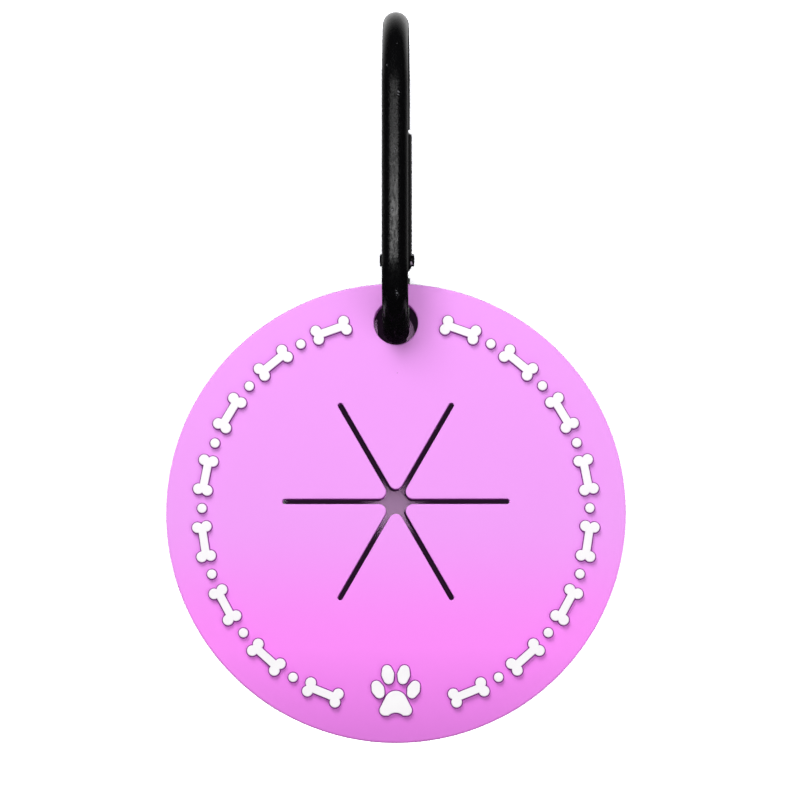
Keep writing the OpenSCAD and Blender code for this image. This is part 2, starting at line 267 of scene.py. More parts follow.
blackLacquer = {
    "coat": "070708",
    "scuff": "77777C",
    "peelSize": 0.32,       # mm between the peel's crests, about twice the real pitch so that it shows
    "peelStretch": 0.45,    # the peel is this much slower along the bar
    "peelDepth": 0.012,     # mm
    "hollow": 0.35,         # the peel's height up to which it is a hollow, of 1
    "crest": 0.65,          # and from which it is a crest
    "roughness": 0.17,      # in the peel's hollows
    "roughnessCrest": 0.32,
    "wornRoughness": 0.5,
    "ior": 1.5,
    "specularLevel": 0.28,
    "grainSize": 0.24,      # mm across the marks inside a rubbed place
    "rubbing": 1.3,         # in the middle of a rubbed place, 0 at its reach
    "markFrom": 0.66,       # rubbing times grain at which the coat begins to wear
    "markTo": 0.74,         # and at which it is worn through
    "spineFront": -6,       # mm, scuffs lie in front of this on the spine
    "scuffStretch": 0.6,    # scuffs are longer along the bar
    # where the spine is rubbed: across, height and reach in mm
    "scuffs": [(0.3, -2.2, 1.0), (-1.2, -5.6, 0.9), (1.1, -5.5, 0.9), (0.6, -10, 1.8),
               (0, -18.6, 2.4), (-0.4, -27.5, 1.9), (0.2, -34, 1.7), (0.3, -40.3, 2.3),
               (0.4, -45.7, 0.8)],
}


def makeBlackLacquer(name, look):
    material, tree, place = newMaterial(name)
    stretched = addNode(tree, "ShaderNodeVectorMath",
                        {"operation": "MULTIPLY", 1: (1, 1, look["peelStretch"])}, {0: place})
    peel = addNode(tree, "ShaderNodeTexNoise", {"Scale": 1 / (look["peelSize"] * mm), "Detail": 2},
                   {"Vector": stretched.outputs[0]})
    grain = addNode(tree, "ShaderNodeTexNoise",
                    {"Scale": 1 / (look["grainSize"] * mm), "Detail": 4, "Roughness": 0.7},
                    {"Vector": place})
    parts = addNode(tree, "ShaderNodeSeparateXYZ", None, {0: place})
    onSpine = addNode(tree, "ShaderNodeMath", {"operation": "LESS_THAN", 1: look["spineFront"] * mm},
                      {0: parts.outputs["Y"]})
    across = addNode(tree, "ShaderNodeVectorMath",
                     {"operation": "MULTIPLY", 1: (1, 0, look["scuffStretch"])}, {0: place})
    rubbed = None
    for x, z, reach in look["scuffs"]:
        middle = (x * mm, 0, z * mm * look["scuffStretch"])
        away = addNode(tree, "ShaderNodeVectorMath", {"operation": "DISTANCE", 1: middle},
                       {0: across.outputs[0]})
        near = addNode(tree, "ShaderNodeMapRange",
                       {"From Max": reach * mm, "To Min": look["rubbing"], "To Max": 0},
                       {"Value": away.outputs["Value"]})
        if rubbed is None:
            rubbed = near.outputs["Result"]
        else:
            rubbed = addNode(tree, "ShaderNodeMath", {"operation": "MAXIMUM"},
                             {0: rubbed, 1: near.outputs["Result"]}).outputs[0]
    ragged = addNode(tree, "ShaderNodeMath", {"operation": "MULTIPLY"},
                     {0: rubbed, 1: grain.outputs["Fac"]})
    worn = addNode(tree, "ShaderNodeMapRange", {"From Min": look["markFrom"], "From Max": look["markTo"]},
                   {"Value": ragged.outputs[0]})
    worn = addNode(tree, "ShaderNodeMath", {"operation": "MULTIPLY"},
                   {0: worn.outputs["Result"], 1: onSpine.outputs[0]})
    colour = addNode(tree, "ShaderNodeMix",
                     {"data_type": "RGBA", 6: toLinear(look["coat"]), 7: toLinear(look["scuff"])},
                     {0: worn.outputs[0]})
    coat = addNode(tree, "ShaderNodeMapRange",
                   {"From Min": look["hollow"], "From Max": look["crest"], "To Min": look["roughness"],
                    "To Max": look["roughnessCrest"]}, {"Value": peel.outputs["Fac"]})
    roughness = addNode(tree, "ShaderNodeMapRange", {"To Max": look["wornRoughness"]},
                        {"Value": worn.outputs[0], "To Min": coat.outputs["Result"]})
    bump = addNode(tree, "ShaderNodeBump", {"Strength": 1, "Distance": look["peelDepth"] * mm},
                   {"Height": peel.outputs["Fac"]})
    shader = addNode(tree, "ShaderNodeBsdfPrincipled",
                     {"IOR": look["ior"], "Specular IOR Level": look["specularLevel"]},
                     {"Base Color": colour.outputs[2], "Roughness": roughness.outputs["Result"]})
    finishMaterial(tree, shader, bump)
    return material


# Worn lacquer: the rivet is lacquered with the rest, and its right head is rubbed through to bare steel.
# The bare patch is a
# light, nearly matt grey: wear, and also a painted highlight for the glint on that head.

wornRivetAndGlint = {
    "coat": "050506",
    "metal": "D6D7DA",
    "patchSize": 0.8,       # mm across a bare patch
    "bareFrom": 0.52,       # the noise at which the coat begins to wear
    "bareTo": 0.58,         # and at which the steel is bare
    "dentDepth": 0.02,      # mm
    "dentStrength": 0.4,
    "metallic": 0.25,       # of a bare patch, kept low so that its light grey shows as a painted highlight
    "roughness": 0.4,
    "specularLevel": 0.16,
}


def makeWornRivetAndGlint(name, look):
    material, tree, place = newMaterial(name)
    patches = addNode(tree, "ShaderNodeTexNoise", {"Scale": 1 / (look["patchSize"] * mm), "Detail": 4},
                      {"Vector": place})
    bare = addNode(tree, "ShaderNodeMapRange", {"From Min": look["bareFrom"], "From Max": look["bareTo"]},
                   {"Value": patches.outputs["Fac"]})
    parts = addNode(tree, "ShaderNodeSeparateXYZ", None, {0: place})
    # only the right head, where the highlight falls, gets the bare patch and its painted highlight
    onRight = addNode(tree, "ShaderNodeMath", {"operation": "GREATER_THAN", 1: 0}, {0: parts.outputs["X"]})
    bare = addNode(tree, "ShaderNodeMath", {"operation": "MULTIPLY"},
                   {0: bare.outputs["Result"], 1: onRight.outputs[0]})
    colour = addNode(tree, "ShaderNodeMix",
                     {"data_type": "RGBA", 6: toLinear(look["coat"]), 7: toLinear(look["metal"])},
                     {0: bare.outputs[0]})
    metallic = addNode(tree, "ShaderNodeMath", {"operation": "MULTIPLY", 1: look["metallic"]},
                       {0: bare.outputs[0]})
    bump = addNode(tree, "ShaderNodeBump",
                   {"Strength": look["dentStrength"], "Distance": look["dentDepth"] * mm},
                   {"Height": patches.outputs["Fac"]})
    shader = addNode(tree, "ShaderNodeBsdfPrincipled",
                     {"Roughness": look["roughness"], "Specular IOR Level": look["specularLevel"]},
                     {"Base Color": colour.outputs[2], "Metallic": metallic.outputs[0]})
    finishMaterial(tree, shader, bump)
    return material


# Steel: drawn spring wire and a ground pin, bright with fine lines.

drawnSteel = {
    "metal": "B9BBC0",
    "metalDark": "6F7176",
    "lineSize": 0.12,       # mm between the lines, coarser than real so that they show
    "lineDepth": 0.01,      # mm
    "lineStrength": 0.25,
    "roughness": 0.3,
}


def makeDrawnSteel(name, look):
    material, tree, place = newMaterial(name)
    lines = addNode(tree, "ShaderNodeTexNoise", {"Scale": 1 / (look["lineSize"] * mm), "Detail": 3},
                    {"Vector": place})
    colour = addNode(tree, "ShaderNodeMix",
                     {"data_type": "RGBA", 6: toLinear(look["metalDark"]), 7: toLinear(look["metal"])},
                     {0: lines.outputs["Fac"]})
    bump = addNode(tree, "ShaderNodeBump",
                   {"Strength": look["lineStrength"], "Distance": look["lineDepth"] * mm},
                   {"Height": lines.outputs["Fac"]})
    shader = addNode(tree, "ShaderNodeBsdfPrincipled",
                     {"Metallic": 1, "Roughness": look["roughness"]}, {"Base Color": colour.outputs[2]})
    finishMaterial(tree, shader, bump)
    return material


pinkFace = makePinkSilicone("pinkSiliconeMoulded", pinkSilicone)
pinkCutShade = makeCutSiliconeShade("pinkSiliconeCutShade", cutSiliconeShade)
whiteFace = makeWhiteSilicone("whiteSiliconePoured", whiteSilicone)
lacquer = makeBlackLacquer("blackLacquerBaked", blackLacquer)
steel = makeDrawnSteel("steelDrawn", drawnSteel)
rivetWearAndGlint = makeWornRivetAndGlint("blackLacquerWornAndGlint", wornRivetAndGlint)
print("materials made")


# Outline helpers, in the disc's plane: a point is (x, z) in metres

outlines = {
    "straight": 1e-4,       # two edges that turn by less count as one line
    "clearShare": 0.995,    # of a moved outline's distance, a little less than all of it for rounding
    "flat": 2e-6,           # m, how far behind the front a corner of the front face may lie
    "grid": 1e7,            # cells per metre, corners in one cell are the same
    "leastCosine": 0.5,     # limits how far a sharp corner moves out
}


def insetLoop(points, insets):
    # every edge of a closed outline moves towards its left by its own inset, corners follow both edges
    moved = []
    for i, point in enumerate(points):
        before = (point - points[i - 1]).normalized()
        after = (points[(i + 1) % len(points)] - point).normalized()
        leftBefore = Vector((-before.y, before.x))
        leftAfter = Vector((-after.y, after.x))
        stepBefore, stepAfter = insets[i - 1], insets[i]
        turn = leftBefore.x * leftAfter.y - leftBefore.y * leftAfter.x
        if abs(turn) < outlines["straight"]:
            moved.append(point + leftAfter * stepAfter)
        else:
            x = (stepBefore * leftAfter.y - stepAfter * leftBefore.y) / turn
            y = (leftBefore.x * stepAfter - leftAfter.x * stepBefore) / turn
            moved.append(point + Vector((x, y)))
    return moved


def keepClear(points, source, distance):
    # drops the points of a moved outline that lie nearer to the source outline than they should
    starts = np.array(source)
    spans = np.roll(starts, -1, axis=0) - starts
    kept = []
    for point in points:
        offset = np.array(point) - starts
        share = np.clip((offset * spans).sum(1) / (spans * spans).sum(1), 0, 1)
        nearest = np.linalg.norm(offset - spans * share[:, None], axis=1).min()
        if nearest > distance * outlines["clearShare"]:
            kept.append(point)
    return kept


def signedArea(points):
    return sum(a.x * b.y - b.x * a.y for a, b in zip(points, points[1:] + points[:1])) / 2


def turnedLeft(points):
    # the inside of the outline lies on its left
    return points if signedArea(points) > 0 else points[::-1]


def arc(centre, radius, start, end, steps):
    angles = [start + (end - start) * i / steps for i in range(steps + 1)]
    return [centre + radius * Vector((math.cos(a), math.sin(a))) for a in angles]


def frontOutlines(node):
    # closed outlines of a CAD node's frontmost faces, each with its inside on its left
    mesh = nodes[node].data
    front = min(v.co.y for v in mesh.vertices)
    places, edgeUse = {}, {}
    for face in mesh.polygons:
        corners = [mesh.vertices[i].co for i in face.vertices]
        if any(c.y > front + outlines["flat"] for c in corners):
            continue
        keys = [(round(c.x * outlines["grid"]), round(c.z * outlines["grid"])) for c in corners]
        for key, corner in zip(keys, corners):
            places[key] = Vector((corner.x, corner.z))
        for a, b in zip(keys, keys[1:] + keys[:1]):
            edgeUse.setdefault(frozenset((a, b)), []).append((a, b))
    following = {}
    for uses in edgeUse.values():
        if len(uses) == 1:
            following.setdefault(uses[0][0], []).append(uses[0][1])
    loops = []
    while following:
        start = min(following)
        loop, here = [], start
        while here in following:
            loop.append(places[here])
            here = following.pop(here)[0]
        loops.append(turnedLeft(loop))
    return loops


# Mesh helpers

meshing = {
    "mergeReach": 1e-7,     # m, vertices nearer than this become one
    "leastEdge": 1e-8,      # m, shorter edges are dissolved
    "flatReach": 1e-7,      # mm, corners nearer than this are one when a flat face is triangulated
    "sharpAngle": 40,       # degrees, edges sharper than this stay creased
    "faceWeight": 100,      # large faces rule the normals, so flat faces stay flat
    "edgeSteps": 3,         # faces across a rounded edge
}


def addRing(bm, points, y):
    return [bm.verts.new((p.x, y, p.y)) for p in points]


def joinRings(bm, first, second, materialIndex=0):
    count = len(first)
    for i in range(count):
        j = (i + 1) % count
        face = bm.faces.new((first[i], first[j], second[j], second[i]))
        face.material_index = materialIndex


def fillFlat(bm, rings):
    # one flat face with holes, triangulated between its rings, by the even and odd rule
    corners = [v for ring in rings for v in ring]
    flat = [Vector((v.co.x / mm, v.co.z / mm)) for v in corners]
    edges, first = [], 0
    for ring in rings:
        count = len(ring)
        edges += [(first + i, first + (i + 1) % count) for i in range(count)]
        first += count
    points, _, triangles, sources, _, _ = delaunay_2d_cdt(flat, edges, [], 0, meshing["flatReach"])
    starts = np.array([flat[a] for a, b in edges])
    ends = np.array([flat[b] for a, b in edges])
    for triangle in triangles:
        x, z = sum((points[i] for i in triangle), Vector((0, 0))) / len(triangle)
        spans = (starts[:, 1] > z) != (ends[:, 1] > z)
        a, b = starts[spans], ends[spans]
        crossings = a[:, 0] + (z - a[:, 1]) * (b[:, 0] - a[:, 0]) / (b[:, 1] - a[:, 1])
        if (crossings > x).sum() % 2:
            bm.faces.new([corners[sources[i][0]] for i in triangle])


def finishPiece(bm, name, materials, replaced, body=None):
    bmesh.ops.remove_doubles(bm, verts=bm.verts, dist=meshing["mergeReach"])
    bmesh.ops.dissolve_degenerate(bm, edges=bm.edges, dist=meshing["leastEdge"])
    bmesh.ops.recalc_face_normals(bm, faces=bm.faces)
    for face in bm.faces:
        face.smooth = True
    sharp = math.radians(meshing["sharpAngle"])
    for edge in bm.edges:
        edge.smooth = edge.is_manifold and edge.calc_face_angle(0) < sharp
    mesh = bpy.data.meshes.new(name)
    bm.to_mesh(mesh)
    bm.free()
    for material in materials:
        mesh.materials.append(material)
    piece = bpy.data.objects.new(name, mesh)
    bpy.context.scene.collection.objects.link(piece)
    normals = piece.modifiers.new("flatFacesStayFlat", "WEIGHTED_NORMAL")
    normals.keep_sharp = True
    normals.weight = meshing["faceWeight"]
    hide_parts(*replaced)
    if body:
        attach(piece, body)
    return piece


def roundedEdge(radius):
    # (inset, depth) pairs from the wall's top edge to the flat face's edge
    steps = meshing["edgeSteps"]
    angles = [math.pi / 2 * i / steps for i in range(steps + 1)]
    return [(radius * (1 - math.cos(a)), radius * (1 - math.sin(a))) for a in angles]


# The disc: a ring round the star, with the hanging hole and a moat round each white figure

disc = {
    "rimRound": 0.35 * mm,
    "holeRound": 0.22 * mm,
    "slitWidth": 0.8 * mm,
    "slitReach": 16.9 * mm,     # from the star's middle to the middle of a slit's round end
    "slitRound": 0.16 * mm,
    "tipRadius": 1.1 * mm,
    "petalCount": 6,
    "bendLength": 5 * mm,       # how far in from its root a petal still bends
    "moatWidth": 0.11 * mm,
    "moatDepth": 0.12 * mm,
    "rimSteps": 240,
    "holeSteps": 72,
    "slitEndSteps": 10,
}

petalShape = {
    "columns": 12,              # faces across a petal
    "tipSteps": 8,
    "flankRows": 26,
}

discLow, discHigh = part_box("holder_disc")
discFront, discBack = discLow.y, discHigh.y
discRadius = (discHigh.z - discLow.z) / 2
discCentre = Vector((0, (discHigh.z + discLow.z) / 2))
holePlace = joints["disc_swing"]["pos_m"]
holeCentre = Vector((holePlace[0], holePlace[2]))
discPoints = [Vector((v.co.x, v.co.z)) for v in nodes["holder_disc"].data.vertices]
holeRadius = min((point - holeCentre).length for point in discPoints)
roots = []
for number in range(disc["petalCount"]):
    place = joints[f"petal_{number + 1}_fold"]["pos_m"]
    roots.append(Vector((place[0], place[2])))
starCentre = sum(roots, Vector((0, 0))) / len(roots)
rootReach = (roots[0] - starCentre).length
halfTurn = math.pi / disc["petalCount"]
halfSlit = disc["slitWidth"] / 2


def fromStar(angle, outward, across):
    # a point in a petal's own directions: outward from the star's middle, across to the petal's right
    outwardWay = Vector((math.cos(angle), math.sin(angle)))
    acrossWay = Vector((math.sin(angle), -math.cos(angle)))
    return starCentre + outwardWay * outward + acrossWay * across


def petalAngle(number):
    root = roots[number] - starCentre
    return math.atan2(root.y, root.x)


rootHalf = rootReach * math.tan(halfTurn) - halfSlit / math.cos(halfTurn)


def starOutline():
    # the star's opening in the ring, clockwise, so that the silicone lies on its left
    points, insetShares = [], []
    for number in reversed(range(disc["petalCount"])):
        angle = petalAngle(number)
        seam = [fromStar(angle, rootReach, -rootHalf + 2 * rootHalf * i / petalShape["columns"])
                for i in range(petalShape["columns"] + 1)]
        slitAngle = angle - halfTurn
        slitEnd = starCentre + disc["slitReach"] * Vector((math.cos(slitAngle), math.sin(slitAngle)))
        end = arc(slitEnd, halfSlit, slitAngle + math.pi / 2, slitAngle - math.pi / 2,
                  disc["slitEndSteps"])
        points += seam + end
        insetShares += [0] * (len(seam) - 1) + [1] + [1] * len(end)
    return points, insetShares


def layBevel(bm, outline, shares, radius, wallIndex):
    # front edge ring, wall and back edge ring of one outline, returns the two flat faces' rings
    profile = roundedEdge(radius)
    rings = []
    for inset, depth in reversed(profile):
        rings.append((insetLoop(outline, [inset * s for s in shares]), discFront + depth))
    for inset, depth in profile:
        rings.append((insetLoop(outline, [inset * s for s in shares]), discBack - depth))
    made = [addRing(bm, points, y) for points, y in rings]
    steps = len(profile)
    for i in range(len(made) - 1):
        joinRings(bm, made[i], made[i + 1], wallIndex if i == steps - 1 else 0)
    return made[0], made[-1]


figureNodes = [name for name in sorted(nodes) if name.startswith(("paw_", "bone_", "dots"))]
figureOutlines = {name: frontOutlines(name) for name in figureNodes}


def makeDisc():
    bm = bmesh.new()
    rim = turnedLeft(arc(discCentre, discRadius, 0, 2 * math.pi, disc["rimSteps"])[:-1])
    hole = turnedLeft(arc(holeCentre, holeRadius, 0, 2 * math.pi, disc["holeSteps"])[:-1])[::-1]
    star, starShares = starOutline()
    rimFront, rimBack = layBevel(bm, rim, [1] * len(rim), disc["rimRound"], 0)
    # the hole's and the slits' walls take the cut silicone's painted shade
    holeFront, holeBack = layBevel(bm, hole, [1] * len(hole), disc["holeRound"], 1)
    starFront, starBack = layBevel(bm, star, starShares, disc["slitRound"], 1)
    frontRings = [rimFront, holeFront, starFront]
    for loops in figureOutlines.values():
        for loop in loops:
            edge = insetLoop(loop, [-disc["moatWidth"]] * len(loop))
            edge = keepClear(edge, loop, disc["moatWidth"])
            top = addRing(bm, edge, discFront)
            bottom = addRing(bm, edge, discFront + disc["moatDepth"])
            # the moat's walls and floor take the cut silicone's painted shade
            joinRings(bm, top, bottom, 1)
            bm.faces.new(bottom).material_index = 1
            frontRings.append(top)
    fillFlat(bm, frontRings)
    fillFlat(bm, [rimBack, holeBack, starBack])
    return finishPiece(bm, "siliconeDisc", [pinkFace, pinkCutShade], ["holder_disc"],
                       "disc")


discPiece = makeDisc()
print("disc made")


# The petals: grids from tip to root, so that they bend smoothly at the root

def petalSide():
    # one side of a petal from its tip to its root, as (across, outward) with the petal's inside on its left
    tipCentre = Vector((0, (halfSlit + disc["tipRadius"]) / math.sin(halfTurn)))
    tip = arc(tipCentre, disc["tipRadius"], -math.pi / 2, -halfTurn, petalShape["tipSteps"])
    root = Vector((rootHalf, rootReach))
    rows = petalShape["flankRows"]
    return tip + [tip[-1].lerp(root, (i + 1) / rows) for i in range(rows)]


def insetSide(side, inset):
    # the tip moves outward along the petal's middle and the root's end moves along the root line
    moved = []
    for i, point in enumerate(side):
        if i == 0:
            moved.append(point + Vector((0, inset)))
            continue
        if i == len(side) - 1:
            flank = (point - side[i - 1]).normalized()
            moved.append(point - Vector((inset / flank.y, 0)))
            continue
        before = (point - side[i - 1]).normalized()
        after = (side[i + 1] - point).normalized()
        way = (before + after).normalized()
        moved.append(point + Vector((-way.y, way.x)) * inset / max(way.dot(after), outlines["leastCosine"]))
    return moved


def makePetal(number):
    bm = bmesh.new()
    angle = petalAngle(number)
    profile = roundedEdge(disc["slitRound"])
    side = petalSide()
    levels = [(insetSide(side, inset), depth) for inset, depth in profile]
    inner = levels[-1][0]
    columns = petalShape["columns"]
    sections = []
    for row in range(len(side)):
        section = []
        half, outward = inner[row].x, inner[row].y
        for i in range(columns + 1):
            section.append((-half + 2 * half * i / columns, outward, discFront))
        for points, depth in reversed(levels[:-1]):
            section.append((points[row].x, points[row].y, discFront + depth))
        for points, depth in levels[:-1]:
            section.append((points[row].x, points[row].y, discBack - depth))
        for i in range(columns + 1):
            section.append((half - 2 * half * i / columns, outward, discBack))
        for points, depth in reversed(levels[:-1]):
            section.append((-points[row].x, points[row].y, discBack - depth))
        for points, depth in levels[:-1]:
            section.append((-points[row].x, points[row].y, discFront + depth))
        sections.append(section)
    rings = []
    for section in sections:
        ring = []
        for across, outward, y in section:
            flat = fromStar(angle, outward, across)
            ring.append(bm.verts.new((flat.x, y, flat.y)))
        rings.append(ring)
    count = len(rings[0])
    for lower, upper in zip(rings, rings[1:]):
        for i in range(count):
            j = (i + 1) % count
            face = bm.faces.new((lower[i], lower[j], upper[j], upper[i]))
            # a petal's walls take the cut silicone's painted shade
            tall = abs(lower[i].co.y - lower[j].co.y) > (discBack - discFront) / 2
            face.material_index = 1 if tall else 0
    bm.faces.new(rings[-1])
    name = f"siliconePetal{number + 1}"
    piece = finishPiece(bm, name, [pinkFace, pinkCutShade], [f"petal_{number + 1}"])
    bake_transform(piece)
    return piece


pinkPieces = [discPiece] + [makePetal(number) for number in range(disc["petalCount"])]
for pinkPiece in pinkPieces:
    pinkPiece.visible_glossy = False    # the clip's lacquer shows no pink, as in the photograph
print("petals made")


# The white figures, poured into their moats and standing proud of the disc's face

figure = {
    "edgeRound": 0.2 * mm,
    "sunk": 0.02 * mm,          # below the moat's floor, so that no light passes under
}


def makeFigure(node):
    bm = bmesh.new()
    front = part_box(node)[0].y
    foot = discFront + disc["moatDepth"] + figure["sunk"]
    for loop in figureOutlines[node]:
        rings = []
        for inset, depth in reversed(roundedEdge(figure["edgeRound"])):
            rings.append(addRing(bm, insetLoop(loop, [inset] * len(loop)), front + depth))
        rings.append(addRing(bm, loop, foot))
        for upper, lower in zip(rings, rings[1:]):
            joinRings(bm, upper, lower)
        bm.faces.new(rings[0])
        bm.faces.new(rings[-1])
    return finishPiece(bm, "white_" + node, [whiteFace], [node], "disc")


for figureNode in figureNodes:
    makeFigure(figureNode)
print("figures made")


# The clip: bar, gate, spring and plunger keep their solids, the rivet gets turned, slightly domed heads

rivet = {
    "shaftRadius": 0.7 * mm,
    "headHeight": 0.6 * mm,
    "edgeRound": 0.07 * mm,
    "crown": 0.06 * mm,         # how much the head's middle stands above its rounded edge
    "edgeSteps": 4,
    "crownSteps": 5,
    "roundSteps": 40,
}


def makeRivet():
    low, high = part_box("gate_rivet")
    headRadius = (high.z - low.z) / 2
    middle = (low + high) / 2
    halfLength = (high.x - low.x) / 2
    underHead = halfLength - rivet["headHeight"]
    edge = rivet["edgeRound"]
    crownFoot = halfLength - rivet["crown"]
    crownRadius = headRadius - edge
    profile = [(underHead, rivet["shaftRadius"]), (underHead, headRadius)]
    for i in range(rivet["edgeSteps"] + 1):
        turn = math.pi / 2 * i / rivet["edgeSteps"]
        profile.append((crownFoot - edge * (1 - math.sin(turn)), crownRadius + edge * math.cos(turn)))
    for i in range(1, rivet["crownSteps"] + 1):
        share = 1 - i / rivet["crownSteps"]
        profile.append((halfLength - rivet["crown"] * share ** 2, crownRadius * share))
    profile = [(-x, r) for x, r in reversed(profile)] + profile
    bm = bmesh.new()
    rings = []
    for x, radius in profile:
        ring = []
        for i in range(rivet["roundSteps"]):
            turn = 2 * math.pi * i / rivet["roundSteps"]
            ring.append(bm.verts.new((middle.x + x, middle.y + radius * math.cos(turn),
                                      middle.z + radius * math.sin(turn))))
        rings.append(ring)
    for first, second in zip(rings, rings[1:]):
        joinRings(bm, first, second)
    return finishPiece(bm, "rivetTurned", [rivetWearAndGlint], ["gate_rivet"], "gate")


clipPieces = [makeRivet(), nodes["carabiner_bar"], nodes["carabiner_gate"]]


def setMaterial(node, material):
    for slot in nodes[node].material_slots:
        slot.material = material


for node in ("carabiner_bar", "carabiner_gate"):
    setMaterial(node, lacquer)
for node in ("gate_spring", "gate_plunger"):
    setMaterial(node, steel)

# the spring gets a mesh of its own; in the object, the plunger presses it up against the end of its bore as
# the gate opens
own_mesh(nodes["gate_spring"])
print("clip dressed")


# Stage: a sheet of paper close behind, dark grey and lit to white, and a pale floor below

stage = {
    "sheetBehind": 1.2 * mm,    # from the object's back to the sheet
    "sheetColour": "2A2A2B",    # its own lamps make it white, and it stays dark in the disc's shade
    "floorColour": "EFEFF0",
    "floorBelow": 250 * mm,
    "fibreSize": 0.6,           # mm
    "fibreDepth": 0.01,         # mm
    "fibreStrength": 0.05,
    "clearFrom": 0.06,          # slant from which the paper is clear, 0 is square-on and 1 is edge-on
    # the sheet is in two pieces, and the middle one lies in the disc's full shade
    "middleWidth": 15.5 * mm,   # half of it
    "middleHeight": 30 * mm,    # half of it
    "middleUp": 5.5 * mm,       # above the disc's middle
    "sheetRadius": 0.5,         # m
    "roundSteps": 64,
    "floorReach": 0.4,          # m, half of its width
}


def makePaperMaterial(name, hexColour):
    # matt paper, clear in front of lamps, and clear to the eye from its back and from a slant, so that the
    # object shows from all sides
    material, tree, place = newMaterial(name)
    fibres = addNode(tree, "ShaderNodeTexNoise", {"Scale": 1 / (stage["fibreSize"] * mm), "Detail": 3},
                     {"Vector": place})
    bump = addNode(tree, "ShaderNodeBump",
                   {"Strength": stage["fibreStrength"], "Distance": stage["fibreDepth"] * mm},
                   {"Height": fibres.outputs["Fac"]})
    paper = addNode(tree, "ShaderNodeBsdfDiffuse", {"Color": toLinear(hexColour)},
                    {"Normal": bump.outputs["Normal"]})
    clear = addNode(tree, "ShaderNodeBsdfTransparent")
    rays = addNode(tree, "ShaderNodeLightPath")
    side = addNode(tree, "ShaderNodeNewGeometry")
    through = addNode(tree, "ShaderNodeMath", {"operation": "MAXIMUM"},
                      {0: side.outputs["Backfacing"], 1: rays.outputs["Is Shadow Ray"]})
    slant = addNode(tree, "ShaderNodeLayerWeight", {"Blend": 0.5}).outputs["Facing"]
    seen = addNode(tree, "ShaderNodeMath", {"operation": "MULTIPLY"},
                   {0: slant, 1: rays.outputs["Is Camera Ray"]})
    edgeOn = addNode(tree, "ShaderNodeMath", {"operation": "GREATER_THAN", 1: stage["clearFrom"]},
                     {0: seen.outputs[0]})
    through = addNode(tree, "ShaderNodeMath", {"operation": "MAXIMUM"},
                      {0: through.outputs[0], 1: edgeOn.outputs[0]})
    both = addNode(tree, "ShaderNodeMixShader", None,
                   {0: through.outputs[0], 1: paper.outputs[0], 2: clear.outputs[0]})
    finishMaterial(tree, both)
    return material


def makeStagePiece(name, bm, material):
    mesh = bpy.data.meshes.new(name)
    bm.to_mesh(mesh)
    bm.free()
    mesh.materials.append(material)
    piece = bpy.data.objects.new(name, mesh)
    bpy.context.scene.collection.objects.link(piece)
    return piece


def makeStage():
    low, high = Vector(cadBounds[0]), Vector(cadBounds[1])
    behind = high.y + stage["sheetBehind"]
    sheet = makePaperMaterial("paperSheet", stage["sheetColour"])
    steps = stage["roundSteps"]
    angles = [2 * math.pi * i / steps for i in range(steps)]
    ways = [Vector((math.cos(a), math.sin(a))) for a in angles]
    width, height, up = stage["middleWidth"], stage["middleHeight"], stage["middleUp"]
    shade = [discCentre + Vector((way.x * width, way.y * height + up)) for way in ways]
    middle = bmesh.new()
    middle.faces.new(addRing(middle, shade, behind))
    around = bmesh.new()
    inner = addRing(around, shade, behind)
    outer = addRing(around, [discCentre + way * stage["sheetRadius"] for way in ways], behind)
    for i in range(steps):
        around.faces.new([outer[i - 1], outer[i], inner[i], inner[i - 1]])
    sheetMiddle = makeStagePiece("backdropMiddle", middle, sheet)
    sheetAround = makeStagePiece("backdropSheet", around, sheet)
    floorHeight, reach = low.z - stage["floorBelow"], stage["floorReach"]
    ground = bmesh.new()
    ground.faces.new([ground.verts.new(corner) for corner in (
        (-reach, -reach, floorHeight), (reach, -reach, floorHeight),
        (reach, reach, floorHeight), (-reach, reach, floorHeight))])
    floor = makeStagePiece("paleFloor", ground, makePaperMaterial("paperFloor", stage["floorColour"]))
    # the world stands in for the lit paper in reflections, not for its shaded middle behind the disc
    sheetAround.visible_glossy = floor.visible_glossy = False
    sheetMiddle.visible_diffuse = sheetAround.visible_diffuse = False       # the lit paper adds no glow
    return sheetMiddle, sheetAround


backdrop = makeStage()
print("stage made")


# Lights: a soft key from the upper left, a fill from the lower right and a lamp behind, for the object
# alone. A lamp on each side, a little behind, lights the disc's rim, and a strip in front gives the clip
# its sheen. A lamp on each side in front lights the sheet alone, and two snooted spots light the patches
# of it that show through the star's middle and the hole.

# places and sizes in m, powers in W
lights = {
    "target": (0, 0, -0.065),
    "keyPlace": (-0.09, -0.30, 0.20),
    "keySize": 0.22,
    "keyPower": 1.38,
    "fillPlace": (0.2, -0.45, -0.12),
    "fillSize": 0.5,
    "fillPower": 1.12,
    "backPlace": (0.12, 0.56, 0.1),
    "backSize": 0.4,
    "backPower": 1.75,
    "rimPlace": (0.5, 0.2, -0.09),      # and its mirror image
    "rimWidth": 0.2,
    "rimHeight": 0.6,
    "rimPower": 2.2,
    "sheetLampPlace": (0.489, -0.346, -0.224),      # and its mirror image
    "sheetLampSize": 0.06,
    "sheetLampPower": 320,
    "sheenPlace": (-0.045, -0.19, -0.008),
    "sheenWidth": 0.28,
    "sheenHeight": 0.012,
    "sheenPower": 0.16,
    # spots on the sheet, seen through the star and the hole: place, target, radius there in m and power
    "snoots": [((0.016, -0.5, -0.0885), (-0.0006, 0.0135, -0.0717), 0.0048, 146),
               ((0.026, -0.5, -0.0305), (-0.0008, 0.0135, -0.0444), 0.0048, 106)],
    "snootColour": "FFC9FB",        # the light that the pink walls pass on
    "snootSize": 0.0015,
}


def linkTo(name, pieces, state):
    # a collection that lets a lamp light only these pieces, or all but these
    group = bpy.data.collections.new(name)
    for piece in pieces:
        group.objects.link(piece)
    for entry in group.collection_objects:
        entry.light_linking.link_state = state
    return group


